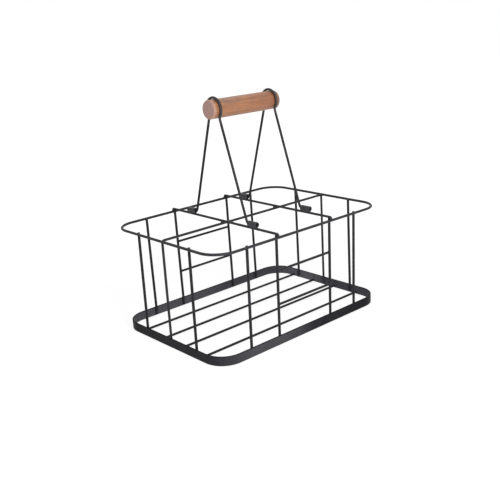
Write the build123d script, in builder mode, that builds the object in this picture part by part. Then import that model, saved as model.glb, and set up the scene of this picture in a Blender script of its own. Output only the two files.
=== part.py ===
from build123d import *
import math
import os

# Bottle caddy: a wire basket with six compartments on a flat steel band, and a
# wooden grip carried by two wire bails that rock in short tubes welded to the
# cross dividers.
#
# Millimetres. X runs along the long side, Y across, Z up. The origin is on the
# ground, under the middle of the basket. Front is -Y and left is -X.

# Top ring: one bent and welded round bar
ring_length = 290.0
ring_width = 210.0
ring_height = 139.4
ring_wire = 3.4
ring_bend = 28.4

# Base band: flat bar on edge, bent to a rounded rectangle
band_length = 289.0
band_width = 203.0
band_height = 12.0
band_thickness = 2.0
band_corner = 29.4
band_edge_round = 0.5

# Uprights, which stand inside the ring and inside the band
upright_wire = 3.5
outer_upright_place = 93.7
end_upright_place = 51.0
foot_gap = 1.6
tip_rise = -0.4

# Dividers: the long one is level with the ring, the two across stand on it with turned ends
divider_wire = 3.2
cross_place = 46.6
cross_lift = 0.9
turned_end_bend = 2.0
long_bend = 3.0

# Rails between the two middle uprights of each long side
rail_wire = 3.2
upper_rail_height = 95.3
lower_rail_height = 51.7

# Floor wires along the length
floor_wire = 3.2
floor_wire_height = 3.3
inner_floor_place = 20.4
outer_floor_place = 61.3

# Pivot tubes on the cross dividers
tube_outside = 7.0
tube_length = 15.6
tube_mouth_gap = 0.3
tube_edge = 0.4

# Bails
bail_wire = 3.2
pivot_clearance = 0.3
bail_foot_corner = 49.4
foot_bend = 3.0
foot_setback = 3.6
loop_play = 0.4
neck_turn = 37.0
neck_bend = 4.5

# Wooden grip
grip_diameter = 23.8
grip_length = 111.0
grip_height = 283.0
grip_edge = 1.5

# Fits shared by all the wires
weld_gap = 0.04
wire_end_round = 0.6

# Places worked out from the sizes above
ring_x = ring_length / 2 - ring_wire / 2
ring_y = ring_width / 2 - ring_wire / 2
ring_z = ring_height - ring_wire / 2
band_inside_x = band_length / 2 - band_thickness
band_inside_y = band_width / 2 - band_thickness
upright_top_x = ring_x - ring_wire / 2 - upright_wire / 2 - weld_gap
upright_top_y = ring_y - ring_wire / 2 - upright_wire / 2 - weld_gap
upright_low_x = band_inside_x - upright_wire / 2 - weld_gap
upright_low_y = band_inside_y - upright_wire / 2 - weld_gap
upright_tip = ring_height + tip_rise
cross_z = ring_height + cross_lift + divider_wire / 2
long_z = ring_height - divider_wire / 2
under_cross_tip = cross_z - divider_wire / 2 - weld_gap
tube_bore = bail_wire + 2 * pivot_clearance
pivot_z = cross_z + divider_wire / 2 + tube_outside / 2 + weld_gap

os.makedirs("parts", exist_ok=True)


def save(part, name):
    """Label the finished piece and write its STEP file."""
    part.label = name
    export_step(part, f"parts/{name}.step")


def make_bar(name, start, end, wire):
    """A straight round bar with eased ends, from one point to the other."""
    run = Vector(*end) - Vector(*start)
    with BuildPart() as bar:
        with BuildSketch(Plane(origin=start, z_dir=run)):
            Circle(wire / 2)
        extrude(amount=run.length)
        fillet(bar.edges().filter_by(GeomType.CIRCLE), min(wire_end_round, wire / 3))
    save(bar.part, name)


def make_butt_bar(name, start, end, wire):
    """A straight round bar with flat ends that meet another piece squarely."""
    run = Vector(*end) - Vector(*start)
    with BuildPart() as bar:
        with BuildSketch(Plane(origin=start, z_dir=run)):
            Circle(wire / 2)
        extrude(amount=run.length)
    save(bar.part, name)


def leaning(low, top, height, top_height=ring_z):
    """Place of a leaning wire's axis at a height, from where it meets the band and where it ends.

    A wire that leans out meets the band at its upper edge, one that leans in at its foot.
    """
    low_height = band_height if top > low else foot_gap
    return low + (top - low) * (height - low_height) / (top_height - low_height)


def long_side_point(x, side, height):
    """A point on the axis of an upright of a long side; side is -1 at the front, 1 at the back."""
    return (x, side * leaning(upright_low_y, upright_top_y, height), height)


def short_side_point(y, side, height):
    """A point on the axis of an upright of a short side; side is -1 at the left, 1 at the right."""
    return (side * leaning(upright_low_x, upright_top_x, height), y, height)


# Top ring
with BuildPart() as top_ring:
    with BuildLine(Plane.XY.offset(ring_z)) as ring_path:
        FilletPolyline(
            (ring_x, -ring_y), (ring_x, ring_y), (-ring_x, ring_y), (-ring_x, -ring_y),
            radius=ring_bend,
            close=True,
        )
    ring_line = ring_path.wire()
    with BuildSketch(Plane(origin=ring_line @ 0, z_dir=ring_line % 0)):
        Circle(ring_wire / 2)
    sweep(path=ring_line)
save(top_ring.part, "top_ring")

# Base band
with BuildPart() as base_band:
    with BuildSketch(Plane.XY):
        RectangleRounded(band_length, band_width, band_corner)
        RectangleRounded(
            2 * band_inside_x, 2 * band_inside_y, band_corner - band_thickness, mode=Mode.SUBTRACT
        )
    extrude(amount=band_height)
    rims = base_band.faces().filter_by(Axis.Z).edges()
    fillet(rims, min(band_edge_round, band_thickness / 3))
save(base_band.part, "base_band")

# Floor wires, numbered from the front
floor_places = (-outer_floor_place, -inner_floor_place, inner_floor_place, outer_floor_place)
for number, y in enumerate(floor_places, start=1):
    make_butt_bar(
        f"floor_wire_{number}",
        (-band_inside_x, y, floor_wire_height),
        (band_inside_x, y, floor_wire_height),
        floor_wire,
    )

# Uprights of the long sides, numbered from the left; the middle two carry the cross dividers
upright_places = (-outer_upright_place, -cross_place, cross_place, outer_upright_place)
for side_name, side in (("front", -1), ("back", 1)):
    for number, x in enumerate(upright_places, start=1):
        tip = under_cross_tip if abs(x) == cross_place else upright_tip
        make_bar(
            f"{side_name}_upright_{number}",
            long_side_point(x, side, foot_gap),
            long_side_point(x, side, tip),
            upright_wire,
        )

# Uprights of the short sides, either side of the long divider's leg
for side_name, side in (("left", -1), ("right", 1)):
    for place_name, y in (("front", -end_upright_place), ("back", end_upright_place)):
        make_bar(
            f"{side_name}_upright_{place_name}",
            short_side_point(y, side, foot_gap),
            short_side_point(y, side, upright_tip),
            upright_wire,
        )

# Rails, butted between the middle uprights of each long side
rail_reach = cross_place - upright_wire / 2
for side_name, side in (("front", -1), ("back", 1)):
    for level_name, height in (("lower", lower_rail_height), ("upper", upper_rail_height)):
        make_butt_bar(
            f"{side_name}_{level_name}_rail",
            long_side_point(-rail_reach, side, height),
            long_side_point(rail_reach, side, height),
            rail_wire,
        )

# Long divider: an inverted U whose legs stand inside the band and whose bends meet the ring
leg_low_x = band_inside_x - divider_wire / 2 - weld_gap
bend_reach = ring_wire / 2 + weld_gap + divider_wire / 2 + long_bend
bend_drop = ring_z - long_z + long_bend
bend_x = ring_x - math.sqrt(bend_reach**2 - bend_drop**2)
leg_lean = math.atan((bend_x + long_bend - leg_low_x) / (long_z - band_height))
leg_top_x = bend_x + long_bend * math.tan(math.pi / 4 + leg_lean / 2)
leg_foot_x = leaning(leg_low_x, leg_top_x, foot_gap, long_z)
with BuildPart() as long_divider:
    with BuildLine(Plane.XZ) as long_path:
        FilletPolyline(
            (-leg_foot_x, foot_gap), (-leg_top_x, long_z), (leg_top_x, long_z), (leg_foot_x, foot_gap),
            radius=long_bend,
        )
    long_wire = long_path.wire()
    with BuildSketch(Plane(origin=long_wire @ 0, z_dir=long_wire % 0)):
        Circle(divider_wire / 2)
    sweep(path=long_wire)
save(long_divider.part, "long_divider")

# Cross dividers: each end turns down over the ring and stands on it
turned_end_z = ring_height + weld_gap
for side_name, x in (("left", -cross_place), ("right", cross_place)):
    with BuildPart() as cross_divider:
        with BuildLine(Plane.YZ.offset(x)) as cross_path:
            FilletPolyline(
                (ring_y, turned_end_z), (ring_y, cross_z), (-ring_y, cross_z), (-ring_y, turned_end_z),
                radius=turned_end_bend,
            )
        cross_wire = cross_path.wire()
        with BuildSketch(Plane(origin=cross_wire @ 0, z_dir=cross_wire % 0)):
            Circle(divider_wire / 2)
        sweep(path=cross_wire)
    save(cross_divider.part, f"cross_divider_{side_name}")

# Bail outline: from a tube up a straight leg, through a neck and round the grip.
# The points are (y, z) in the bail's own upright plane, on the back half.
loop_radius = grip_diameter / 2 + loop_play + bail_wire / 2
loop_centre = Vector(0, grip_height)
loop_top = loop_centre + Vector(0, loop_radius)
neck_out = Vector(1, 0).rotate(Axis.Z, -neck_turn)
neck_point = loop_centre + neck_out * loop_radius
bend_centre = loop_centre + neck_out * (loop_radius + neck_bend)
foot_corner = Vector(bail_foot_corner, pivot_z)
to_bend = bend_centre - foot_corner
leg_swing = math.degrees(math.asin(neck_bend / to_bend.length))
leg_length = math.sqrt(to_bend.length**2 - neck_bend**2)
leg_up = to_bend.normalized().rotate(Axis.Z, leg_swing)
leg_top = foot_corner + leg_up * leg_length
bend_middle = bend_centre + ((neck_point + leg_top) * 0.5 - bend_centre).normalized() * neck_bend
foot_turn = 180 - leg_up.get_angle(Vector(1, 0))
tube_start = bail_foot_corner + foot_bend * math.tan(math.radians(foot_turn / 2)) + tube_mouth_gap
foot_end = Vector(tube_start + tube_length - foot_setback, pivot_z)

# Pivot tubes: short open tubes on top of the cross dividers
for x_name, x in (("left", -cross_place), ("right", cross_place)):
    for y_name, start in (("front", -tube_start - tube_length), ("back", tube_start)):
        with BuildPart() as pivot_tube:
            with BuildSketch(Plane(origin=(x, start, pivot_z), z_dir=(0, 1, 0))):
                Circle(tube_outside / 2)
                Circle(tube_bore / 2, mode=Mode.SUBTRACT)
            extrude(amount=tube_length)
            chamfer(pivot_tube.edges().filter_by(GeomType.CIRCLE), tube_edge)
        save(pivot_tube.part, f"pivot_tube_{x_name}_{y_name}")

# Bails
def back(point):
    """The point as flat (y, z) on the back half of the bail."""
    return (point.X, point.Y)


def front(point):
    """The point as flat (y, z) on the front half of the bail."""
    return (-point.X, point.Y)


for side_name, x in (("left", -cross_place), ("right", cross_place)):
    with BuildPart() as bail:
        with BuildLine(Plane.YZ.offset(x)) as bail_path:
            FilletPolyline(back(foot_end), back(foot_corner), back(leg_top), radius=foot_bend)
            ThreePointArc(back(leg_top), back(bend_middle), back(neck_point))
            ThreePointArc(back(neck_point), back(loop_top), front(neck_point))
            ThreePointArc(front(neck_point), front(bend_middle), front(leg_top))
            FilletPolyline(front(leg_top), front(foot_corner), front(foot_end), radius=foot_bend)
        bail_centre_line = bail_path.wire()
        with BuildSketch(Plane(origin=bail_centre_line @ 0, z_dir=bail_centre_line % 0)):
            Circle(bail_wire / 2)
        sweep(path=bail_centre_line)
        foot_rims = bail.faces().filter_by(GeomType.PLANE).edges()
        fillet(foot_rims, min(wire_end_round, bail_wire / 3))
    save(bail.part, f"bail_{side_name}")

# Wooden grip: a turned bar with eased ends, carried in the two bail loops
with BuildPart() as wooden_grip:
    with BuildSketch(Plane(origin=(-grip_length / 2, 0, grip_height), z_dir=(1, 0, 0))):
        Circle(grip_diameter / 2)
    extrude(amount=grip_length)
    fillet(wooden_grip.edges().filter_by(GeomType.CIRCLE), grip_edge)
save(wooden_grip.part, "wooden_grip")
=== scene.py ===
import logging
import math
import random
from dataclasses import dataclass, field
from enum import Enum

import bmesh
import bpy
from mathutils import Matrix, Vector


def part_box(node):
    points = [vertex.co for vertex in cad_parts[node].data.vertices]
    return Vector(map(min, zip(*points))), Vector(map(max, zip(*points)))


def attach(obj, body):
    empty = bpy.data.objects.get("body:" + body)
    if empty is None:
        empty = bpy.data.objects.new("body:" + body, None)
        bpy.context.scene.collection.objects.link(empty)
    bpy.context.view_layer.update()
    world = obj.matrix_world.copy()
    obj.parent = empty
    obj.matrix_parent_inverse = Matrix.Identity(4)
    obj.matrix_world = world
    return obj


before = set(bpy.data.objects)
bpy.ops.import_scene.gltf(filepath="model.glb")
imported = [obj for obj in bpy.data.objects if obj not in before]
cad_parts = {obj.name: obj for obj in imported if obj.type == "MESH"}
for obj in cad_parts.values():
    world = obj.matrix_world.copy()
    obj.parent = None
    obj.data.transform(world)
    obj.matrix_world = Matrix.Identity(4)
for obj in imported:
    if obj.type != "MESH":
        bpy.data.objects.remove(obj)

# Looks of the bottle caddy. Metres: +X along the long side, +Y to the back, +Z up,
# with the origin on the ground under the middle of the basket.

log = logging.getLogger("bottle_caddy")
Colour = tuple[float, float, float]
Point = tuple[float, float, float]
Span = tuple[float, float]
Socket = bpy.types.NodeSocket


class Slot(Enum):
    """Names of material slots for the welds."""

    WIRE = "wire_coat"
    BAND = "band_coat"
    TUBE = "tube_coat"


class Side(Enum):
    """The two sides of a middle plane, as the sign of the coordinate across it."""

    LOW = -1
    HIGH = 1


# Shader nodes


class Value:
    """A number socket, so that shader maths reads as an expression."""

    def __init__(self, shader: "Shader", socket: Socket) -> None:
        """Keep the socket and the node tree that it is in."""
        self.shader = shader
        self.socket = socket

    def _maths(self, operation: str, *terms: "Value | float") -> "Value":
        """Add a Math node.

        Args:
            operation: The Math node's operation.
            terms: Its inputs in order.

        Returns:
            The node's result.
        """
        node = self.shader.node(
            "ShaderNodeMath", {"operation": operation}, dict(enumerate(terms))
        )
        return Value(self.shader, node.outputs[0])

    def __add__(self, other: "Value | float") -> "Value":
        """The sum of the two."""
        return self._maths("ADD", self, other)

    __radd__ = __add__

    def __sub__(self, other: "Value | float") -> "Value":
        """This less the other."""
        return self._maths("SUBTRACT", self, other)

    def __rsub__(self, other: "Value | float") -> "Value":
        """The other less this."""
        return self._maths("SUBTRACT", other, self)

    def __mul__(self, other: "Value | float") -> "Value":
        """The product of the two."""
        return self._maths("MULTIPLY", self, other)

    __rmul__ = __mul__

    def __truediv__(self, other: "Value | float") -> "Value":
        """This divided by the other."""
        return self._maths("DIVIDE", self, other)

    def __pow__(self, other: "Value | float") -> "Value":
        """This raised to the other."""
        return self._maths("POWER", self, other)

    def __abs__(self) -> "Value":
        """The size of this without its sign."""
        return self._maths("ABSOLUTE", self)

    def larger(self, other: "Value | float") -> "Value":
        """The larger of the two."""
        return self._maths("MAXIMUM", self, other)

    def wave(self) -> "Value":
        """A wave from 0 to 1 with a period of 1 in this value."""
        turned = self * math.tau
        return turned._maths("SINE", turned) * 0.5 + 0.5

    def step(self, low: float, high: float) -> "Value":
        """A smooth step.

        Args:
            low: Where the result is 0.
            high: Where the result is 1. It may be below low.

        Returns:
            The step, from 0 to 1.
        """
        ends = (low, high, 0.0, 1.0) if low < high else (high, low, 1.0, 0.0)
        node = self.shader.node(
            "ShaderNodeMapRange",
            {"interpolation_type": "SMOOTHSTEP"},
            dict(enumerate((self, *ends))),
        )
        return Value(self.shader, node.outputs[0])


class Shader:
    """The node tree of a material or of the world."""

    def __init__(self, tree: bpy.types.NodeTree) -> None:
        """Start the tree empty."""
        self.tree = tree
        tree.nodes.clear()

    def node(
        self, kind: str, settings: dict | None = None, sockets: dict | None = None
    ) -> bpy.types.Node:
        """Add any node.

        Args:
            kind: The node's type name.
            settings: Its properties by name.
            sockets: A number, colour, socket or Value for each input, by name or number.

        Returns:
            The node.
        """
        made = self.tree.nodes.new(kind)
        for name, setting in (settings or {}).items():
            setattr(made, name, setting)
        for name, given in (sockets or {}).items():
            given = given.socket if isinstance(given, Value) else given
            if isinstance(given, Socket):
                self.tree.links.new(given, made.inputs[name])
            else:
                made.inputs[name].default_value = given
        return made

    def vector(self, operation: str, *terms: object) -> bpy.types.Node:
        """Add a Vector Math node with its inputs in order."""
        return self.node("ShaderNodeVectorMath", {"operation": operation}, dict(enumerate(terms)))

    def place(self) -> Socket:
        """The object coordinates."""
        return self.node("ShaderNodeTexCoord").outputs["Object"]

    def axes(self, place: Socket) -> list[Value]:
        """A place's three coordinates."""
        split = self.node("ShaderNodeSeparateXYZ", None, {0: place})
        return [Value(self, split.outputs[name]) for name in "XYZ"]

    def scaled(self, place: Socket, factors: Point) -> Socket:
        """A place with each coordinate times its factor."""
        return self.vector("MULTIPLY", place, factors).outputs["Vector"]

    def length(self, place: Socket) -> Value:
        """How far a place is from the origin."""
        return Value(self, self.vector("LENGTH", place).outputs["Value"])

    def distance(self, place: Socket, point: Point) -> Value:
        """How far a place is from a point."""
        return Value(self, self.vector("DISTANCE", place, point).outputs["Value"])

    def noise(self, place: Socket, size: float, detail: float = 2.0, rough: float = 0.5) -> Value:
        """Soft noise from 0 to 1.

        Args:
            place: Where it is read.
            size: The size of its largest spots in metres.
            detail: How many finer layers it has.
            rough: How strong they are.

        Returns:
            The noise.
        """
        node = self.node(
            "ShaderNodeTexNoise",
            {"noise_dimensions": "3D"},
            {"Vector": place, "Scale": 1.0 / size, "Detail": detail, "Roughness": rough},
        )
        return Value(self, node.outputs["Fac"])

    def mix(self, factor: Value | float, first: object, second: object, blend: str = "MIX") -> Socket:
        """Mix two colours.

        Args:
            factor: The share of the second colour.
            first: A colour or its socket.
            second: A colour or its socket.
            blend: The Mix node's blend type.

        Returns:
            The mixed colour.
        """
        def full(colour: object) -> object:
            """A colour with its alpha, or the socket as it is."""
            return (*colour, 1.0) if isinstance(colour, tuple) else colour

        node = self.node(
            "ShaderNodeMix",
            {"data_type": "RGBA", "blend_type": blend},
            {0: factor, 6: full(first), 7: full(second)},
        )
        return node.outputs[2]

    def bump(self, height: Value, depth: float, under: Socket | None = None) -> Socket:
        """Relief from a height.

        Args:
            height: The height, from 0 to 1.
            depth: How deep that is in metres.
            under: The normal that it is laid on.

        Returns:
            The normal.
        """
        sockets = {"Height": height, "Distance": depth, "Strength": 1.0}
        if under is not None:
            sockets["Normal"] = under
        return self.node("ShaderNodeBump", None, sockets).outputs["Normal"]

    def surface(self, sockets: dict) -> None:
        """Make a Principled shader with these sockets the material's surface."""
        body = self.node("ShaderNodeBsdfPrincipled", None, sockets)
        self.node("ShaderNodeOutputMaterial", None, {"Surface": body.outputs[0]})


@dataclass(frozen=True)
class Layer:
    """How a pattern lays on a tone: none of it at low and the whole share at high."""

    low: float
    high: float
    share: float

    def of(self, pattern: Value) -> Value:
        """The tone's share over the pattern."""
        return pattern.step(self.low, self.high) * self.share


def new_material(name: str) -> tuple[bpy.types.Material, Shader]:
    """Make a material with an empty node tree.

    Args:
        name: The material's name.

    Returns:
        The material and its node tree.
    """
    material = bpy.data.materials.new(name)
    material.use_nodes = True
    return material, Shader(material.node_tree)


# Finishes


@dataclass(frozen=True)
class PowderCoat:
    """Matte powder coat on steel: sandy grit and pits, soft lumps and clouds of tone."""

    name: str
    tone: Colour = (0.0140, 0.0136, 0.0162)
    pale: Colour = (0.048, 0.046, 0.056)
    pit_shade: Colour = (0.3, 0.3, 0.3)
    sand_size: float = 0.00042
    sand_depth: float = 0.000045
    lump_size: float = 0.0021
    lump_depth: float = 0.000072
    cloud_size: float = 0.012
    cloud_span: Span = (0.35, 0.70)
    clouding: float = 0.20
    lump_span: Span = (0.42, 0.66)
    mottle: float = 0.12
    grit_span: Span = (0.60, 0.74)
    grit: float = 0.45
    pits: Layer = Layer(0.45, 0.28, 0.35)
    roughness: float = 0.44
    cloud_roughness: float = 0.16
    grit_roughness: float = 0.08
    sheen_level: float = 0.16

    def shade(self, shader: Shader, place: Socket, colour: Socket) -> Socket:
        """The coat's colour with painted light and shade laid on it, here none."""
        return colour

    def make(self) -> bpy.types.Material:
        """Build the material.

        Returns:
            The material.
        """
        material, shader = new_material(self.name)
        place = shader.place()
        sand = shader.noise(place, self.sand_size, detail=3.0, rough=0.6)
        lumps = shader.noise(place, self.lump_size, detail=1.0)
        cloud = shader.noise(place, self.cloud_size, detail=3.0, rough=0.55)
        grit = sand.step(*self.grit_span)
        colour = shader.mix(cloud.step(*self.cloud_span) * self.clouding, self.tone, self.pale)
        colour = shader.mix(lumps.step(*self.lump_span) * self.mottle, colour, self.pale)
        colour = shader.mix(grit * self.grit, colour, self.pale)
        colour = shader.mix(self.pits.of(sand), colour, self.pit_shade, "MULTIPLY")
        colour = self.shade(shader, place, colour)
        normal = shader.bump(lumps, self.lump_depth)
        normal = shader.bump(sand, self.sand_depth, normal)
        clouded = (cloud - 0.5) * self.cloud_roughness
        shader.surface(
            {
                "Base Color": colour,
                "Roughness": clouded + self.roughness + grit * self.grit_roughness,
                "Specular IOR Level": self.sheen_level,
                "Normal": normal,
            }
        )
        return material


@dataclass(frozen=True)
class BandCoat(PowderCoat):
    """The coat of a flat bar bent to a rounded rectangle.

    Painted light makes it pale inside the bend, less so in the right half, and on a
    stretch of the front, with a painted highlight inside the right side. Painted shade
    darkens it away from the near corner, and it is darker along both rims.
    """

    length: float = 0.289
    width: float = 0.203
    height: float = 0.012
    thickness: float = 0.002
    corner: float = 0.0294
    inner_face: Span = (0.60, 0.95)
    # painted light: its colour, its share inside, a stretch of the front, and less in the right half
    painted_light: Colour = (0.098, 0.095, 0.109)
    inside_light_share: float = 0.95
    front_light_middle: Point = (-0.068, -0.100, 0.006)
    front_light_stretch: Layer = Layer(0.095, 0.025, 0.60)
    right_half_dimming: Layer = Layer(-0.010, 0.030, 0.28)
    # painted highlight inside the right side
    painted_sheen: Colour = (0.210, 0.204, 0.230)
    sheen_share: float = 0.40
    sheen_middle: Point = (0.1425, 0.045, 0.006)
    sheen_reach: Span = (0.055, 0.015)
    # deep: the dark colour of the painted shade and of the rims
    deep: Colour = (0.006, 0.006, 0.007)
    near_corner: Point = (-0.1445, -0.1015, 0.006)
    shade_reach: Span = (0.10, 0.26)
    shade_back: Span = (-0.02, 0.06)
    shade_share: float = 0.60
    rim_width: float = 0.0011
    rim_share: float = 0.85

    def inside(self, x: Value, y: Value) -> Value:
        """Where the bar's inner face is.

        Args:
            x: The place along the long sides.
            y: The place along the short sides.

        Returns:
            From 0 near the outer face to 1 at the inner one.
        """
        past_x = (abs(x) - (self.length / 2 - self.corner)).larger(0.0)
        past_y = (abs(y) - (self.width / 2 - self.corner)).larger(0.0)
        depth = self.corner - (past_x * past_x + past_y * past_y) ** 0.5
        return depth.step(*(self.thickness * share for share in self.inner_face))

    def shade(self, shader: Shader, place: Socket, colour: Socket) -> Socket:
        """Paint light, a highlight and shade into the coat's colour, and darken its rims.

        Args:
            shader: The material's node tree.
            place: The object coordinates.
            colour: The coat's own colour.

        Returns:
            The colour.
        """
        x, y, z = shader.axes(place)
        # painted light on a stretch of the front
        painted_light = self.front_light_stretch.of(shader.distance(place, self.front_light_middle))
        # painted highlight round a point inside the right side
        painted_sheen = shader.distance(place, self.sheen_middle).step(*self.sheen_reach)
        # painted shade, growing away from the near corner and towards the back
        painted_shade = shader.distance(place, self.near_corner).step(*self.shade_reach)
        painted_shade = painted_shade.larger(y.step(*self.shade_back))
        # painted light on the inner face, dimmed in the right half but not at the painted highlight
        inside = self.inside(x, y) * (1.0 - self.right_half_dimming.of(x) * (1.0 - painted_sheen))
        low = z.step(self.rim_width, 0.0)
        high = z.step(self.height - self.rim_width, self.height)
        colour = shader.mix(painted_shade * self.shade_share, colour, self.deep)
        colour = shader.mix((inside * self.inside_light_share).larger(painted_light), colour, self.painted_light)
        colour = shader.mix(inside * painted_sheen * self.sheen_share, colour, self.painted_sheen)
        return shader.mix(low.larger(high) * self.rim_share, colour, self.deep)


@dataclass(frozen=True)
class BailCoat(PowderCoat):
    """The coat of a bail, paler and browner round its loop with a painted reflection of the grip's wood.
    """

    # painted reflection of the grip's wood round the loop
    wood_reflection: Colour = (0.074, 0.061, 0.056)
    painted_loop_span: Span = (0.262, 0.270)
    spot_size: float = 0.004
    spots: Layer = Layer(0.30, 0.60, 0.4)
    reflection_least: float = 0.5

    def shade(self, shader: Shader, place: Socket, colour: Socket) -> Socket:
        """Paint a reflection of the wood into the coat from the loop up.

        Args:
            shader: The material's node tree.
            place: The object coordinates.
            colour: The coat's own colour.

        Returns:
            The colour.
        """
        height = shader.axes(place)[2]
        painted_sheen = self.spots.of(shader.noise(place, self.spot_size)) + self.reflection_least
        # painted reflection of the wood from the loop up
        return shader.mix(height.step(*self.painted_loop_span) * painted_sheen, colour, self.wood_reflection)


@dataclass(frozen=True)
class StainedWood:
    """Stained and lacquered hardwood, cut along the grain, for a bar that lies along X.

    Rings, fibres, streaks, flecks and blotches make the grain, with a smoky bloom and one
    darker patch over it. The right half is ruddier, with painted shade past its loop. Each
    loop has a painted shadow round it, and both ends are paler on their faces, with a
    painted highlight along their rims. The spans of an end, a rim highlight and a loop
    shadow are distances from the end or from the loop.
    """

    name: str
    axis_height: float
    half_length: float
    early: Colour = (0.450, 0.198, 0.094)
    late: Colour = (0.286, 0.113, 0.053)
    fleck: Colour = (0.200, 0.080, 0.042)
    smoke: Colour = (0.175, 0.100, 0.074)
    ruddy: Colour = (0.310, 0.108, 0.055)
    # painted shadow round each loop
    loop_shadow: Colour = (0.110, 0.066, 0.050)
    # painted shade past the right loop
    right_end_shade: Colour = (0.165, 0.112, 0.092)
    end: Colour = (0.60, 0.385, 0.345)
    # painted highlight along the ends' rims
    rim_highlight: Colour = (0.62, 0.430, 0.350)
    heart: tuple[float, float] = (0.021, -0.034)
    ring_gap: float = 0.0024
    ring_drift: float = 1.5
    ring_sharpness: float = 2.2
    ring_share: float = 0.55
    end_ring_sharpness: float = 1.5
    end_ring_share: float = 0.40
    stretch: Point = (0.055, 1.0, 1.0)
    drift_size: float = 0.006
    fibre_size: float = 0.0006
    fibres: Layer = Layer(0.42, 0.66, 0.42)
    streak_size: float = 0.0028
    streaks: Layer = Layer(0.45, 0.68, 0.70)
    fleck_size: float = 0.00034
    fleck_span: Span = (0.66, 0.76)
    fleck_share: float = 0.80
    blotch_size: float = 0.02
    blotches: Layer = Layer(0.62, 0.35, 0.30)
    flow: Point = (0.35, 1.0, 1.0)
    smoke_size: float = 0.0075
    smoked: Layer = Layer(0.50, 0.70, 0.45)
    # one darker patch on the upper front
    dark_patch: Point = (-0.024, -0.0070, 0.0096)
    dark_patch_reach: Layer = Layer(0.0095, 0.003, 0.70)
    dark_patch_span: Span = (0.36, 0.56)
    ruddy_part: Layer = Layer(-0.005, 0.040, 0.50)
    loop_place: float = 0.0466
    painted_loop_span: Span = (0.0026, 0.0012)
    loop_shadow_fibres: Layer = Layer(0.25, 0.50, 0.60)
    shade_past: Span = (0.0006, 0.0030)
    right_shade_share: float = 0.70
    end_span: Span = (0.0012, 0.0002)
    end_share: float = 0.85
    rim_highlight_span: Span = (0.0055, 0.0016)
    rim_share: float = 0.34
    shaded_rim_loss: float = 0.18
    fibre_depth: float = 0.000035
    fleck_depth: float = 0.00006
    roughness: float = 0.38
    fibre_roughness: float = 0.16
    end_roughness: float = 0.2

    def rings(self, shader: Shader, place: Socket, drift: Value) -> Value:
        """The year rings round the heart, which lies outside the bar.

        Args:
            shader: The material's node tree.
            place: The place from the bar's axis.
            drift: The noise that makes them uneven.

        Returns:
            A wave from 0 to 1.
        """
        from_heart = shader.vector("SUBTRACT", place, (0.0, *self.heart)).outputs["Vector"]
        reach = shader.length(shader.scaled(from_heart, (0.0, 1.0, 1.0)))
        return (reach / self.ring_gap + drift * self.ring_drift).wave()

    def make(self) -> bpy.types.Material:
        """Build the material.

        Returns:
            The material.
        """
        material, shader = new_material(self.name)
        centred = {"Vector": shader.place(), "Location": (0.0, 0.0, -self.axis_height)}
        place = shader.node("ShaderNodeMapping", None, centred).outputs["Vector"]
        along = shader.scaled(place, self.stretch)
        flowing = shader.scaled(place, self.flow)
        drift = shader.noise(along, self.drift_size)
        fibre = shader.noise(along, self.fibre_size, detail=3.0, rough=0.65)
        streak = shader.noise(along, self.streak_size, rough=0.6)
        flecks = shader.noise(along, self.fleck_size, detail=1.0).step(*self.fleck_span)
        blotch = shader.noise(place, self.blotch_size)
        smoke = shader.noise(flowing, self.smoke_size, detail=3.0, rough=0.6)
        years = self.rings(shader, place, drift)
        middle = (self.dark_patch[0] * self.flow[0], *self.dark_patch[1:])
        dark_patch = self.dark_patch_reach.of(shader.distance(flowing, middle))
        dark_patch = dark_patch * smoke.step(*self.dark_patch_span)
        x = shader.axes(place)[0]
        sideways = abs(x)
        end = sideways.step(*(self.half_length - inset for inset in self.end_span))
        # painted highlight along the rims near both ends
        rim_highlight = sideways.step(*(self.half_length - inset for inset in self.rim_highlight_span)) * (1.0 - end)
        # painted shade from just past the right loop to the end
        right_end_shade = x.step(*(self.loop_place + past for past in self.shade_past))
        # painted shadow on the wood round each loop
        loop_shadow = abs(sideways - self.loop_place).step(*self.painted_loop_span) * self.loop_shadow_fibres.of(fibre)

        colour = shader.mix((years ** self.ring_sharpness) * self.ring_share, self.early, self.late)
        colour = shader.mix(self.streaks.of(streak), colour, self.late)
        colour = shader.mix(self.fibres.of(fibre), colour, self.late)
        colour = shader.mix(self.blotches.of(blotch), colour, self.early)
        colour = shader.mix(self.ruddy_part.of(x), colour, self.ruddy)
        colour = shader.mix(self.smoked.of(smoke).larger(dark_patch), colour, self.smoke)
        colour = shader.mix(flecks * self.fleck_share, colour, self.fleck)
        colour = shader.mix(right_end_shade * self.right_shade_share, colour, self.right_end_shade)
        end_rings = (years ** self.end_ring_sharpness) * self.end_ring_share
        colour = shader.mix(end * self.end_share, colour, shader.mix(end_rings, self.end, self.late))
        colour = shader.mix(rim_highlight * (self.rim_share - right_end_shade * self.shaded_rim_loss), colour, self.rim_highlight)
        colour = shader.mix(loop_shadow, colour, self.loop_shadow)
        normal = shader.bump(fibre, self.fibre_depth)
        normal = shader.bump(1.0 - flecks, self.fleck_depth, normal)
        fibrous = fibre * self.fibre_roughness
        shader.surface(
            {
                "Base Color": colour,
                "Roughness": fibrous + self.roughness + end * self.end_roughness,
                "Specular IOR Level": 0.4,
                "Coat Weight": 0.35,
                "Coat Roughness": 0.32,
                "Normal": normal,
            }
        )
        return material


def dress(node: str, material: bpy.types.Material) -> None:
    """Give a CAD node a material in place of its plain one.

    Args:
        node: The node's name.
        material: What it is dressed in.
    """
    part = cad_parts[node]
    if not part.material_slots:
        part.data.materials.append(material)
    for slot in part.material_slots:
        slot.material = material
    log.info("dressed %s in %s", node, material.name)


# Welds


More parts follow.
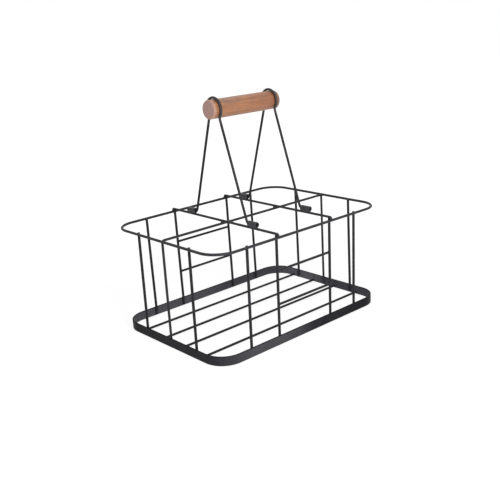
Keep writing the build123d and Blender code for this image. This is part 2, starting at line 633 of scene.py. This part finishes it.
@dataclass
class WeldRun:
    """Welds that are made as one piece.

    Short lengths of the wires that meet are joined by a fine remesh and smoothed. That
    fills the corners between them and draws the rest back under the wires' own skin.
    """

    name: str
    slot: Slot
    material: bpy.types.Material
    seed: int
    stub_reach: float = 0.0026
    stub_sides: int = 20
    grain: float = 0.00030
    smooth_rounds: int = 9
    smoothing: float = 0.5
    blob: float = 0.00135
    drop_sizes: Span = (0.9, 1.12)
    drop_shake: float = 0.12
    shapes: bmesh.types.BMesh = field(default_factory=bmesh.new)
    count: int = 0

    def __post_init__(self) -> None:
        """Start the run's own unevenness."""
        self.uneven = random.Random(self.seed)

    def stub(self, middle: Vector, along: Vector, radius: float, reach: float | None = None) -> None:
        """Add a short length of wire.

        Args:
            middle: The middle of its axis.
            along: Its direction.
            radius: Its radius.
            reach: Half its length, the run's own where it is left out.
        """
        turn = along.to_track_quat("Z", "Y").to_matrix().to_4x4()
        bmesh.ops.create_cone(
            self.shapes,
            cap_ends=True,
            segments=self.stub_sides,
            radius1=radius,
            radius2=radius,
            depth=2 * (reach or self.stub_reach),
            matrix=Matrix.Translation(middle) @ turn,
        )

    def slab(self, low: Vector, high: Vector) -> None:
        """Add a block of flat bar between two corners."""
        spread = Matrix.Diagonal((*(high - low), 1.0))
        bmesh.ops.create_cube(self.shapes, size=1.0, matrix=Matrix.Translation((low + high) / 2) @ spread)

    def drop(self, middle: Vector, radius: float | None = None) -> None:
        """Add a drop of weld metal, a little uneven in size and place.

        Args:
            middle: Its middle.
            radius: Its radius, the run's own where it is left out.
        """
        size = (radius or self.blob) * self.uneven.uniform(*self.drop_sizes)
        shake = Vector([self.uneven.uniform(-1, 1) for _ in range(3)]) * size * self.drop_shake
        bmesh.ops.create_icosphere(
            self.shapes, subdivisions=2, radius=size, matrix=Matrix.Translation(middle + shake)
        )
        self.count += 1

    def make(self, body: str) -> None:
        """Turn what was added into the finished piece.

        Args:
            body: The CAD body that it rides on.
        """
        rough = bpy.data.meshes.new(self.name + "_rough")
        self.shapes.to_mesh(rough)
        self.shapes.free()
        piece = bpy.data.objects.new(self.name, rough)
        bpy.context.scene.collection.objects.link(piece)
        remesh = piece.modifiers.new("joined", "REMESH")
        remesh.mode = "VOXEL"
        remesh.voxel_size = self.grain
        joined = bpy.data.meshes.new_from_object(
            piece.evaluated_get(bpy.context.evaluated_depsgraph_get())
        )
        piece.modifiers.clear()
        shape = bmesh.new()
        shape.from_mesh(joined)
        for _ in range(self.smooth_rounds):
            bmesh.ops.smooth_vert(
                shape,
                verts=shape.verts,
                factor=self.smoothing,
                use_axis_x=True,
                use_axis_y=True,
                use_axis_z=True,
            )
        bmesh.ops.recalc_face_normals(shape, faces=shape.faces)
        for face in shape.faces:
            face.smooth = True
        done = bpy.data.meshes.new(self.name)
        shape.to_mesh(done)
        shape.free()
        piece.data = done
        done.materials.append(self.material)
        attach(piece, body)
        log.info("%s: %d drops, %d faces", self.name, self.count, len(done.polygons))


# Sub-assemblies


@dataclass
class TopRing:
    """The bent round bar round the top of the basket."""

    length: float = 0.290
    width: float = 0.210
    height: float = 0.1394
    wire: float = 0.0034

    @property
    def axis_x(self) -> float:
        """Where the bar's axis is on the short sides."""
        return self.length / 2 - self.wire / 2

    @property
    def axis_y(self) -> float:
        """Where the bar's axis is on the long sides."""
        return self.width / 2 - self.wire / 2

    @property
    def level(self) -> float:
        """The height of the bar's axis."""
        return self.height - self.wire / 2

    def build(self, coat: bpy.types.Material) -> None:
        """Dress the ring."""
        dress("top_ring", coat)


@dataclass
class BaseBand:
    """The flat bar on edge round the foot of the basket.

    The weld shares are the heights of an upright's two spot welds, and the weld reach is
    half the length of upright that they take in, all as shares of the band's height.
    """

    length: float = 0.289
    width: float = 0.203
    height: float = 0.012
    thickness: float = 0.002
    weld_depth: float = 0.0014
    weld_margin: float = 0.0008
    weld_shares: tuple[float, float] = (0.35, 0.72)
    weld_reach: float = 0.36

    @property
    def inside_x(self) -> float:
        """Where the inner face is on the short sides."""
        return self.length / 2 - self.thickness

    @property
    def inside_y(self) -> float:
        """Where the inner face is on the long sides."""
        return self.width / 2 - self.thickness

    def build(self, coat: bpy.types.Material) -> None:
        """Dress the band."""
        dress("base_band", coat)

    def wall(self, run: WeldRun, place: Vector, half_width: float) -> None:
        """Add the piece of the band's wall that a weld sits on.

        Args:
            run: The weld run that it goes into.
            place: A point near the inner face, at the weld's height.
            half_width: Half the wall's width along the band.
        """
        bottom, top = self.weld_margin, self.height - self.weld_margin
        if abs(place.x) / self.inside_x > abs(place.y) / self.inside_y:
            edge = math.copysign(self.inside_x, place.x)
            xs = sorted((edge, edge + math.copysign(self.weld_depth, place.x)))
            low = Vector((xs[0], place.y - half_width, bottom))
            high = Vector((xs[1], place.y + half_width, top))
        else:
            edge = math.copysign(self.inside_y, place.y)
            ys = sorted((edge, edge + math.copysign(self.weld_depth, place.y)))
            low = Vector((place.x - half_width, ys[0], bottom))
            high = Vector((place.x + half_width, ys[1], top))
        run.slab(low, high)


@dataclass
class SideWires:
    """The uprights of all four sides and the rails between the middle ones.

    The drops on the band and the rails have sizes and places in thicknesses of wire.
    """

    ring: TopRing
    band: BaseBand
    wire: float = 0.0035
    rail_wire: float = 0.0032
    outer_place: float = 0.0937
    middle_place: float = 0.0466
    end_place: float = 0.0510
    foot: float = 0.0016
    gap: float = 0.00004
    rails: tuple[tuple[str, float], ...] = (("lower", 0.0517), ("upper", 0.0953))
    tip_reach: float = 0.0018
    tip_sink: float = 0.0006
    band_drop: float = 0.38
    rail_reach: float = 0.0022
    rail_drop: float = 0.5
    rail_drop_place: float = 0.55

    def axis(self, along: float, side: Side, height: float, long_side: bool) -> Vector:
        """A point on an upright's axis.

        Args:
            along: Its place along its side of the basket.
            side: Which of the two opposite sides it is on.
            height: The point's height.
            long_side: Whether it is a long side.

        Returns:
            The point.
        """
        inside = self.band.inside_y if long_side else self.band.inside_x
        outer = self.ring.axis_y if long_side else self.ring.axis_x
        low = inside - self.wire / 2 - self.gap
        top = outer - self.ring.wire / 2 - self.wire / 2 - self.gap
        start = self.band.height if top > low else self.foot
        out = side.value * (low + (top - low) * (height - start) / (self.ring.level - start))
        return Vector((along, out, height)) if long_side else Vector((out, along, height))

    @staticmethod
    def outward(side: Side, long_side: bool) -> Vector:
        """The direction out of the basket through one of its sides."""
        return Vector((0, side.value, 0)) if long_side else Vector((side.value, 0, 0))

    def uprights(self) -> list[tuple[float, Side, bool]]:
        """List the uprights.

        Returns:
            Each one's place along its side, its side and whether that is a long one.
        """
        found = []
        for side in Side:
            for place in (-self.outer_place, -self.middle_place, self.middle_place, self.outer_place):
                found.append((place, side, True))
            for place in (-self.end_place, self.end_place):
                found.append((place, side, False))
        return found

    def build(self, coat: bpy.types.Material, band_coat: bpy.types.Material) -> None:
        """Dress the uprights and rails and weld them to the ring, the band and each other.

        Args:
            coat: The wires' coat.
            band_coat: The band's coat, which runs over the welds on it.
        """
        for side in ("front", "back"):
            for number in range(1, 5):
                dress(f"{side}_upright_{number}", coat)
            for level, _ in self.rails:
                dress(f"{side}_{level}_rail", coat)
        for side in ("left", "right"):
            for place in ("front", "back"):
                dress(f"{side}_upright_{place}", coat)
        self.weld_to_ring(coat)
        self.weld_to_band(band_coat)
        self.weld_rails(coat)

    def weld_to_ring(self, coat: bpy.types.Material) -> None:
        """Make the spot welds where the uprights touch the inside of the ring.

        Args:
            coat: What the welds wear.
        """
        run = WeldRun("upright_ring_welds", Slot.WIRE, coat, seed=11)
        for place, side, long_side in self.uprights():
            here = self.axis(place, side, self.ring.level, long_side)
            below = self.axis(place, side, self.ring.level - self.ring.height / 2, long_side)
            apart = self.wire / 2 + self.ring.wire / 2 + self.gap
            bar = here + self.outward(side, long_side) * apart
            run.stub(here - Vector((0, 0, self.tip_sink)), here - below, self.wire / 2, self.tip_reach)
            run.stub(bar, Vector((1, 0, 0)) if long_side else Vector((0, 1, 0)), self.ring.wire / 2)
            run.drop((here + bar) / 2)
        run.make("basket")

    def weld_to_band(self, coat: bpy.types.Material) -> None:
        """Make the spot welds where the uprights stand against the inside of the band.

        Args:
            coat: What the welds wear.
        """
        run = WeldRun("upright_band_welds", Slot.BAND, coat, seed=12)
        for place, side, long_side in self.uprights():
            for share in self.band.weld_shares:
                here = self.axis(place, side, self.band.height * share, long_side)
                run.drop(here + self.outward(side, long_side) * self.wire / 2, self.wire * self.band_drop)
            middle = self.axis(place, side, self.band.height / 2, long_side)
            reach = self.band.height * self.band.weld_reach
            run.stub(middle, Vector((0, 0, 1)), self.wire / 2, reach)
            self.band.wall(run, middle, self.wire)
        run.make("basket")

    def weld_rails(self, coat: bpy.types.Material) -> None:
        """Make the welds round the rails' ends.

        Args:
            coat: What the welds wear.
        """
        run = WeldRun("rail_welds", Slot.WIRE, coat, seed=13)
        for side in Side:
            for _, height in self.rails:
                for end in Side:
                    post = self.axis(end.value * self.middle_place, side, height, True)
                    inward = Vector((-end.value, 0, 0))
                    run.stub(post, Vector((0, 0, 1)), self.wire / 2)
                    run.stub(post + inward * self.wire, inward, self.rail_wire / 2, self.rail_reach)
                    touch = post + inward * self.wire * self.rail_drop_place
                    run.drop(touch, self.rail_wire * self.rail_drop)
        run.make("basket")


@dataclass
class FloorWires:
    """The four wires along the bottom.

    The sizes and places of the drops and walls at their ends are in thicknesses of wire.
    """

    band: BaseBand
    wire: float = 0.0032
    height: float = 0.0033
    places: tuple[float, ...] = (-0.0613, -0.0204, 0.0204, 0.0613)
    stub_inset: float = 0.002
    drop_size: float = 0.48
    drop_rise: float = 0.2
    wall_size: float = 0.9

    def build(self, coat: bpy.types.Material, band_coat: bpy.types.Material) -> None:
        """Dress the wires and weld their ends to the band.

        Args:
            coat: The wires' coat.
            band_coat: The band's coat, which runs over the welds on it.
        """
        run = WeldRun("floor_wire_welds", Slot.BAND, band_coat, seed=21)
        for number, place in enumerate(self.places, start=1):
            dress(f"floor_wire_{number}", coat)
            for side in Side:
                end = Vector((side.value * self.band.inside_x, place, self.height))
                inset = Vector((side.value * self.stub_inset, 0, 0))
                run.stub(end - inset, Vector((1, 0, 0)), self.wire / 2)
                run.drop(end + Vector((0, 0, self.wire * self.drop_rise)), self.wire * self.drop_size)
                self.band.wall(run, end, self.wire * self.wall_size)
        run.make("basket")


@dataclass
class Dividers:
    """The long divider and the two across, which stand on the ring with turned ends.

    The drops' sizes and places are in thicknesses of wire, and how far they sink in is in
    metres. The leg shares are the heights of a leg's welds as shares of the band's height.
    """

    ring: TopRing
    band: BaseBand
    sides: SideWires
    wire: float = 0.0032
    lift: float = 0.0009
    long_bend: float = 0.0030
    gap: float = 0.00004
    leg_shares: tuple[float, float] = (0.35, 0.70)
    leg_drop: float = 0.38
    bend_drop: float = 0.45
    end_stub: float = 0.0030
    foot_reach: float = 0.0007
    side_drop: float = 0.33
    side_place: float = 0.24
    side_out: float = 0.05
    side_sink: float = 0.0003
    cross_drop: float = 0.32
    cross_place: float = 0.14
    cross_sink: float = 0.0004
    tip_drop: float = 0.46

    @property
    def cross_level(self) -> float:
        """The height of the cross dividers' axes."""
        return self.ring.height + self.lift + self.wire / 2

    @property
    def long_level(self) -> float:
        """The height of the long divider's axis."""
        return self.ring.height - self.wire / 2

    def build(self, coat: bpy.types.Material, band_coat: bpy.types.Material) -> None:
        """Dress the dividers and weld them to each other, the ring, the band and the uprights.

        Args:
            coat: The dividers' coat.
            band_coat: The band's coat, which runs over the welds on it.
        """
        for node in ("long_divider", "cross_divider_left", "cross_divider_right"):
            dress(node, coat)
        run = WeldRun("divider_welds", Slot.WIRE, coat, seed=31)
        feet = WeldRun("divider_leg_welds", Slot.BAND, band_coat, seed=32)
        for side in Side:
            self.weld_crossing(run, side)
            self.weld_bend(run, side)
            self.weld_leg(feet, side)
            for end in Side:
                self.weld_turned_end(run, side, end)
        run.make("basket")
        feet.make("basket")

    def weld_crossing(self, run: WeldRun, side: Side) -> None:
        """Weld a cross divider where it passes over the long one.

        Args:
            run: The weld run that it goes into.
            side: Which cross divider it is.
        """
        over = Vector((side.value * self.sides.middle_place, 0, self.cross_level))
        under = Vector((over.x, 0, self.long_level))
        run.stub(over, Vector((0, 1, 0)), self.wire / 2)
        run.stub(under, Vector((1, 0, 0)), self.wire / 2)
        run.drop((over + under) / 2)

    def leg_place(self, side: Side) -> float:
        """Where the axis of the long divider's leg is along X."""
        return side.value * (self.band.inside_x - self.wire / 2 - self.gap)

    def weld_leg(self, run: WeldRun, side: Side) -> None:
        """Weld the long divider's leg to the band.

        Args:
            run: The weld run that it goes into.
            side: Which leg it is.
        """
        middle = Vector((self.leg_place(side), 0, self.band.height / 2))
        run.stub(middle, Vector((0, 0, 1)), self.wire / 2, self.band.height * self.band.weld_reach)
        for share in self.leg_shares:
            touch = Vector((side.value * self.band.inside_x, 0, self.band.height * share))
            run.drop(touch, self.wire * self.leg_drop)
        self.band.wall(run, middle, self.wire)

    def weld_bend(self, run: WeldRun, side: Side) -> None:
        """Weld the long divider's bend to the ring.

        Args:
            run: The weld run that it goes into.
            side: Which bend it is.
        """
        leg = self.leg_place(side)
        bar = Vector((side.value * self.ring.axis_x, 0, self.ring.level))
        bend = Vector((leg - side.value * self.long_bend, 0, self.long_level - self.long_bend))
        touch = bar + (bend - bar).normalized() * self.ring.wire / 2
        run.stub(bar, Vector((0, 1, 0)), self.ring.wire / 2)
        run.drop(touch, self.wire * self.bend_drop)

    def weld_turned_end(self, run: WeldRun, side: Side, end: Side) -> None:
        """Weld a turned end to the ring that it stands on and to the tip of the upright by it.

        Args:
            run: The weld run that it goes into.
            side: Which cross divider it is.
            end: Which of its ends.
        """
        x = side.value * self.sides.middle_place
        bar = Vector((x, end.value * self.ring.axis_y, self.ring.level))
        foot = bar + Vector((0, 0, self.ring.wire / 2))
        raised = foot + Vector((0, 0, self.foot_reach))
        run.stub(bar, Vector((1, 0, 0)), self.ring.wire / 2 - self.gap, self.end_stub)
        run.stub(raised, Vector((0, 0, 1)), self.wire / 2, self.foot_reach)
        for way in Side:
            out = end.value * self.wire * self.side_out
            beside = Vector((way.value * self.wire * self.side_place, out, -self.side_sink))
            run.drop(foot + beside, self.wire * self.side_drop)
            across = Vector((0, way.value * self.wire * self.cross_place, -self.cross_sink))
            run.drop(foot + across, self.wire * self.cross_drop)
        tip = self.sides.axis(x, end, self.cross_level - self.wire / 2, True)
        run.drop(tip, self.wire * self.tip_drop)


@dataclass
class Handle:
    """The pivot tubes, the two bails and the wooden grip."""

    dividers: Dividers
    bead_reach: float = 0.0046
    bead: float = 0.00095
    bead_sink: float = 0.00055
    bead_pitch: float = 0.0009

    def build(
        self, coat: bpy.types.Material, tube_coat: bpy.types.Material, wood: bpy.types.Material
    ) -> None:
        """Dress the handle and weld its tubes to the cross dividers.

        Args:
            coat: The bails' coat.
            tube_coat: The tubes' coat.
            wood: The grip's wood.
        """
        run = WeldRun("tube_welds", Slot.TUBE, tube_coat, seed=41, grain=0.00022, smooth_rounds=4)
        for x_name in ("left", "right"):
            dress(f"bail_{x_name}", coat)
            for y_name in ("front", "back"):
                tube = f"pivot_tube_{x_name}_{y_name}"
                dress(tube, tube_coat)
                self.weld_tube(run, tube)
        run.make("basket")
        dress("wooden_grip", wood)

    def weld_tube(self, run: WeldRun, tube: str) -> None:
        """Lay a bead along each side of the line where a tube lies on its divider.

        Args:
            run: The weld run that it goes into.
            tube: The tube's node.
        """
        low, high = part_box(tube)
        middle = (low + high) / 2
        tube_radius = (high.x - low.x) / 2
        wire_radius = self.dividers.wire / 2
        level = self.dividers.cross_level
        apart = middle.z - level
        to_tube = tube_radius + self.bead - self.bead_sink
        to_wire = wire_radius + self.bead - self.bead_sink
        up = (to_wire ** 2 - to_tube ** 2 + apart ** 2) / (2 * apart)
        out = math.sqrt(to_wire ** 2 - up ** 2)
        steps = int(2 * self.bead_reach / self.bead_pitch)
        for side in Side:
            for step in range(steps + 1):
                along = -self.bead_reach + step * self.bead_pitch
                place = Vector((middle.x + side.value * out, middle.y + along, level + up))
                run.drop(place, self.bead)


# Studio


@dataclass
class Viewpoint:
    """The camera's place, from the photograph: its angles, distance and lens."""

    azimuth: float = math.radians(-41.3233)
    elevation: float = math.radians(17.5328)
    roll: float = math.radians(-3.3970)
    distance: float = 0.98990
    slide_right: float = -0.001797
    slide_up: float = 0.047286
    aim: Vector = field(default_factory=lambda: Vector((0.0, 0.0, 0.140)))
    focal_pixels: float = 751.50
    image_side: float = 500.0
    sensor: float = 36.0
    nearest: float = 0.01

    def build(self) -> None:
        """Make the camera and look through it."""
        sine, cosine = math.sin(self.azimuth), math.cos(self.azimuth)
        flat = math.cos(self.elevation)
        back = Vector((sine * flat, -cosine * flat, math.sin(self.elevation)))
        level = Vector((cosine, sine, 0.0))
        upright = back.cross(level)
        right = level * math.cos(self.roll) + upright * math.sin(self.roll)
        up = upright * math.cos(self.roll) - level * math.sin(self.roll)
        lens = bpy.data.cameras.new("camera")
        lens.sensor_width = self.sensor
        lens.lens = self.focal_pixels * self.sensor / self.image_side
        lens.clip_start = self.nearest
        camera = bpy.data.objects.new("camera", lens)
        turn = Matrix((right, up, back)).transposed().to_4x4()
        place = self.aim + back * self.distance - right * self.slide_right - up * self.slide_up
        camera.matrix_world = Matrix.Translation(place) @ turn
        bpy.context.scene.collection.objects.link(camera)
        bpy.context.scene.camera = camera


@dataclass
class Softbox:
    """A square lamp that points at the caddy."""

    name: str
    place: Point
    side: float
    watts: float
    target: Point = (0.0, 0.0, 0.10)

    def build(self) -> None:
        """Make the lamp."""
        lamp = bpy.data.lights.new(self.name, "AREA")
        lamp.shape = "SQUARE"
        lamp.size = self.side
        lamp.energy = self.watts
        holder = bpy.data.objects.new(self.name, lamp)
        holder.visible_camera = False
        place = Vector(self.place)
        aim = (Vector(self.target) - place).to_track_quat("-Z", "Y")
        holder.matrix_world = Matrix.Translation(place) @ aim.to_matrix().to_4x4()
        bpy.context.scene.collection.objects.link(holder)


@dataclass
class Studio:
    """A pale floor, a white surround and soft lamps."""

    view: Viewpoint = field(default_factory=Viewpoint)
    lamps: tuple[Softbox, ...] = (
        Softbox("top_softbox", place=(0.12, 0.12, 1.05), side=0.35, watts=2.0),
        Softbox("key_softbox", place=(-0.25, -0.60, 0.36), side=0.22, watts=3.1),
    )
    ambient: float = 0.34
    floor_tone: float = 0.75
    seen_tone: float = 0.20
    seen_glow: float = 0.87
    glow_start: float = 0.20
    glow_end: float = 0.60
    floor_side: float = 8.0
    floor_level: float = -0.0001

    def build(self) -> None:
        """Set up the view, the lamps, the world and the floor."""
        bpy.context.scene.view_settings.view_transform = "Standard"
        self.view.build()
        for lamp in self.lamps:
            lamp.build()
        self.build_world()
        self.build_floor()

    @staticmethod
    def seen(shader: Shader) -> Value:
        """Tell what the camera sees, straight or in a reflection or through glass.

        Args:
            shader: The node tree that asks.

        Returns:
            1 for what it sees, and else 0.
        """
        path = shader.node("ShaderNodeLightPath")
        names = ("Is Camera Ray", "Is Glossy Ray", "Is Transmission Ray")
        straight, mirrored, through = (Value(shader, path.outputs[name]) for name in names)
        return straight.larger(mirrored).larger(through)

    def build_world(self) -> None:
        """Make the surround white to look at and an even light for the caddy."""
        world = bpy.data.worlds.new("surround")
        world.use_nodes = True
        bpy.context.scene.world = world
        shader = Shader(world.node_tree)
        strength = self.seen(shader) * (1 - self.ambient) + self.ambient
        glow = shader.node(
            "ShaderNodeBackground", None, {"Color": (1.0, 1.0, 1.0, 1.0), "Strength": strength}
        )
        shader.node("ShaderNodeOutputWorld", None, {"Surface": glow.outputs[0]})

    def build_floor(self) -> None:
        """Make the floor, which looks white and keeps a soft shadow under the caddy."""
        material, shader = new_material("floor_paint")
        seen = self.seen(shader)
        reach = shader.length(shader.place())
        glow = reach.step(self.glow_start, self.glow_end) * (1 - self.seen_glow) + self.seen_glow
        shader.surface(
            {
                "Base Color": shader.mix(seen, (self.floor_tone,) * 3, (self.seen_tone,) * 3),
                "Roughness": 0.9,
                "Specular IOR Level": 0.0,
                "Emission Color": shader.mix(seen * glow, (0.0, 0.0, 0.0), (1.0, 1.0, 1.0)),
                "Emission Strength": 1.0,
            }
        )
        shape = bmesh.new()
        bmesh.ops.create_grid(
            shape,
            x_segments=1,
            y_segments=1,
            size=self.floor_side / 2,
            matrix=Matrix.Translation((0, 0, self.floor_level)),
        )
        mesh = bpy.data.meshes.new("floor")
        shape.to_mesh(mesh)
        shape.free()
        mesh.materials.append(material)
        floor = bpy.data.objects.new("floor", mesh)
        bpy.context.scene.collection.objects.link(floor)


def main() -> None:
    """Dress the caddy and light it."""
    logging.basicConfig(level=logging.INFO, format="%(name)s: %(message)s")
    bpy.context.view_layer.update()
    Studio().build()
    ring, band = TopRing(), BaseBand()
    sides = SideWires(ring, band)
    dividers = Dividers(ring, band, sides)
    # A paler copy of the wire coat: painted light for the top light on the ring and the dividers.
    top_lit_coat = PowderCoat(
        "top_lit_powder_coat", tone=(0.0250, 0.0243, 0.0282), pale=(0.062, 0.060, 0.070)
    ).make()
    wire_coat = PowderCoat("wire_powder_coat").make()
    band_coat = BandCoat(
        "band_powder_coat",
        tone=(0.0155, 0.0150, 0.0185),
        pale=(0.043, 0.041, 0.049),
        clouding=0.5,
        mottle=0.35,
        sheen_level=0.06,
    ).make()
    bail_coat = BailCoat("bail_powder_coat").make()
    tube_coat = PowderCoat(
        "tube_powder_coat",
        tone=(0.026, 0.0252, 0.0292),
        pale=(0.070, 0.067, 0.078),
        sheen_level=0.30,
        roughness=0.38,
    ).make()
    low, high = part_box("wooden_grip")
    wood = StainedWood("stained_grip_wood", (low.z + high.z) / 2, (high.x - low.x) / 2).make()
    ring.build(top_lit_coat)
    band.build(band_coat)
    sides.build(wire_coat, band_coat)
    FloorWires(band).build(wire_coat, band_coat)
    dividers.build(top_lit_coat, band_coat)
    Handle(dividers).build(bail_coat, tube_coat, wood)


if __name__ == "__main__":
    main()
